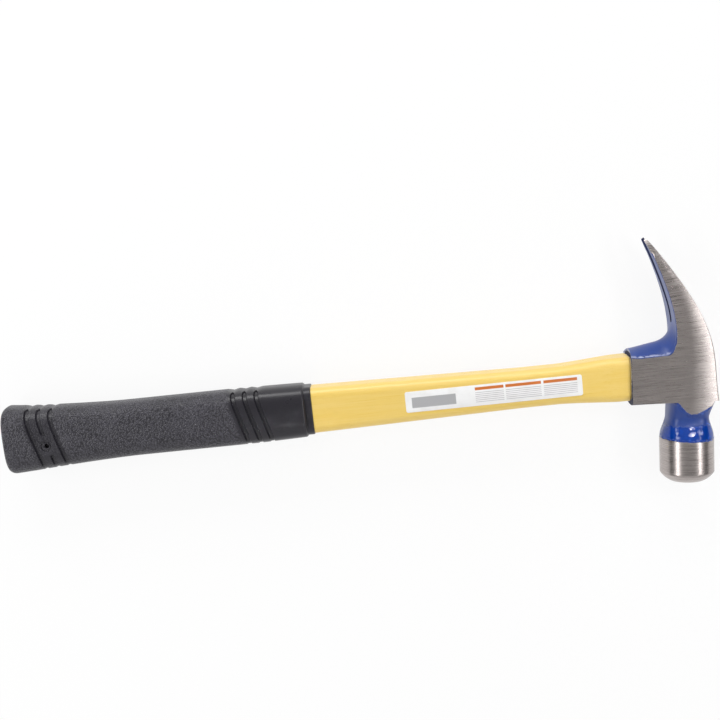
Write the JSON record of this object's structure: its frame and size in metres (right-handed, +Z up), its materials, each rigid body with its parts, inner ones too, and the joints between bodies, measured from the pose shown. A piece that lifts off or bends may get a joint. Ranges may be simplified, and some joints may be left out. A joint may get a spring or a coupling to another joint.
{
  "type": "framing hammer",
  "caption": "Framing hammer with a forged steel head, straight rip claw, bell poll, yellow fibreglass handle and black moulded grip, for driving and pulling nails.",
  "frame": {"origin": "middle of the part's box in X and Y, on the ground under it", "axes": "+X along the handle from the butt to the head, +Y from the poll to the claw tips, +Z up through the cheeks"},
  "size_m": [0.4084, 0.1422, 0.0308],
  "materials": {
    "head_steel": "cheeks, back and poll ground and brushed bare; glossy blue paint on the socket's crown, inside the claw and on the neck",
    "core_fibreglass": "pultruded glass fibre rod, hidden",
    "jacket_yellow": "yellow pigmented, satin gloss with faint lengthwise streaks",
    "bond_epoxy": "cured adhesive, pale amber",
    "grip_vinyl": "black, fine stipple between the groove groups, smooth and satin at both ends",
    "label_paper": "coated white sticker with plain printed bands"
  },
  "bodies": {
    "root": {"hammer_head": "head_steel", "fibreglass_core": "core_fibreglass", "handle_jacket": "jacket_yellow", "epoxy_bond": "bond_epoxy", "grip_sleeve": "grip_vinyl", "handle_label": "label_paper"}
  },
  "joints": []
}
